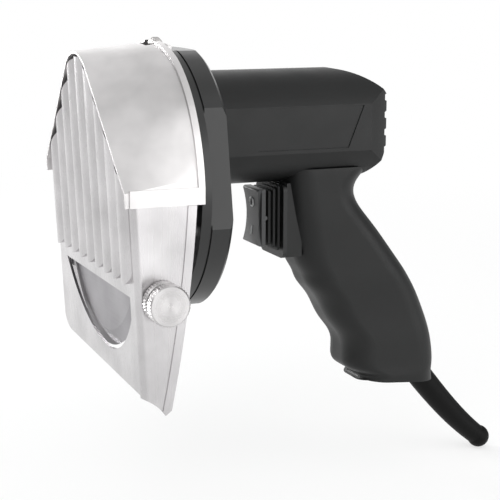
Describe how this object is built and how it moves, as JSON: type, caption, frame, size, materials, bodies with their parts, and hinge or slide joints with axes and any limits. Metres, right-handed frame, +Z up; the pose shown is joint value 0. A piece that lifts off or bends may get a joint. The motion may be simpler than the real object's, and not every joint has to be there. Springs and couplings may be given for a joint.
{
  "type": "electric kebab slicer",
  "caption": "Pistol-grip electric kebab slicer: round blade in a stainless head with a ribbed sliding depth guide, geared motor and rocker switch.",
  "frame": {"origin": "on the round blade's axis, in the plane of the gear case's front rim", "axes": "+X along the blade's axis, from the front plate to the motor; +Z up, from the grip to the hood; +Y to the tool's right"},
  "size_m": [0.224, 0.1391, 0.2196],
  "materials": {
    "depth_guide": "brushed stainless sheet",
    "hood": "brushed stainless sheet",
    "blade": "ground blade steel",
    "blade_screw": "turned",
    "spindle": "turned",
    "drive_gear": "moulded nylon",
    "gear_case": "satin black paint on a casting",
    "gear_cover": "cast",
    "gear_cover_screws": "zinc plated",
    "front_spindle_bearing": "ground",
    "middle_spindle_bearing": "ground",
    "clamp_bracket": "bent strip",
    "guide_bracket": "bent strip",
    "guide_pin": "turned",
    "side_knob": "turned and knurled",
    "side_washer": "pressed",
    "top_knob": "turned and knurled",
    "top_washer": "pressed",
    "motor_shaft": "ground",
    "pinion": "cut steel",
    "rotor": "stacked laminations",
    "commutator": "copper bars",
    "fan": "moulded",
    "stator": "stacked laminations",
    "field_coils": "varnished copper windings",
    "carbon_brushes": "carbon",
    "brush_holders": "pressed",
    "front_motor_bearing": "ground",
    "rear_motor_bearing": "ground",
    "left_shell": "fine textured moulding",
    "right_shell": "fine textured moulding",
    "shell_screws": "blackened",
    "switch_rocker": "moulded",
    "switch_boot": "moulded rubber",
    "switch_bezel": "moulded",
    "switch_body": "moulded",
    "cord_sleeve": "moulded rubber",
    "cord_clamp": "moulded"
  },
  "bodies": {
    "housing": {"hood": "hood", "gear_case": "gear_case", "gear_cover": "gear_cover", "gear_cover_screws": "gear_cover_screws", "front_spindle_bearing": "front_spindle_bearing", "middle_spindle_bearing": "middle_spindle_bearing", "clamp_bracket": "clamp_bracket", "guide_bracket": "guide_bracket", "guide_pin": "guide_pin", "stator": "stator", "field_coils": "field_coils", "carbon_brushes": "carbon_brushes", "brush_holders": "brush_holders", "front_motor_bearing": "front_motor_bearing", "rear_motor_bearing": "rear_motor_bearing", "left_shell": "left_shell", "right_shell": "right_shell", "shell_screws": "shell_screws", "switch_boot": "switch_boot", "switch_bezel": "switch_bezel", "switch_body": "switch_body", "cord_sleeve": "cord_sleeve", "cord_clamp": "cord_clamp"},
    "blade_spindle": {"blade": "blade", "blade_screw": "blade_screw", "spindle": "spindle", "drive_gear": "drive_gear"},
    "motor_rotor": {"motor_shaft": "motor_shaft", "pinion": "pinion", "rotor": "rotor", "commutator": "commutator", "fan": "fan"},
    "guide": {"depth_guide": "depth_guide"},
    "clamp_knob": {"side_knob": "side_knob", "side_washer": "side_washer"},
    "hood_knob": {"top_knob": "top_knob", "top_washer": "top_washer"},
    "rocker": {"switch_rocker": "switch_rocker"}
  },
  "joints": [
    {"name": "blade_spin", "type": "hinge", "parent": "housing", "child": "blade_spindle", "pos_m": [0, 0, 0], "axis": [1, 0, 0], "continuous": true},
    {"name": "motor_spin", "type": "hinge", "parent": "housing", "child": "motor_rotor", "pos_m": [0, 0, 0.03975], "axis": [1, 0, 0], "continuous": true},
    {"name": "guide_slide", "type": "slide", "parent": "housing", "child": "guide", "axis": [-1, 0, 0], "range_m": [0, 0.003]},
    {"name": "clamp_turn", "type": "hinge", "parent": "housing", "child": "clamp_knob", "pos_m": [-0.0195, -0.07, -0.027], "axis": [0, -1, 0], "range_deg": [0, 180]},
    {"name": "hood_knob_turn", "type": "hinge", "parent": "housing", "child": "hood_knob", "pos_m": [0, 0, 0.0734], "axis": [-1, 0, 0], "range_deg": [0, 180]},
    {"name": "rocker_tilt", "type": "hinge", "parent": "housing", "child": "rocker", "pos_m": [0.0516, 0, -0.00375], "axis": [0, 1, 0], "range_deg": [-5, 5]}
  ],
  "couplings": [
    {"joint": "motor_spin", "follows": "blade_spin", "ratio": -3.4167}
  ]
}
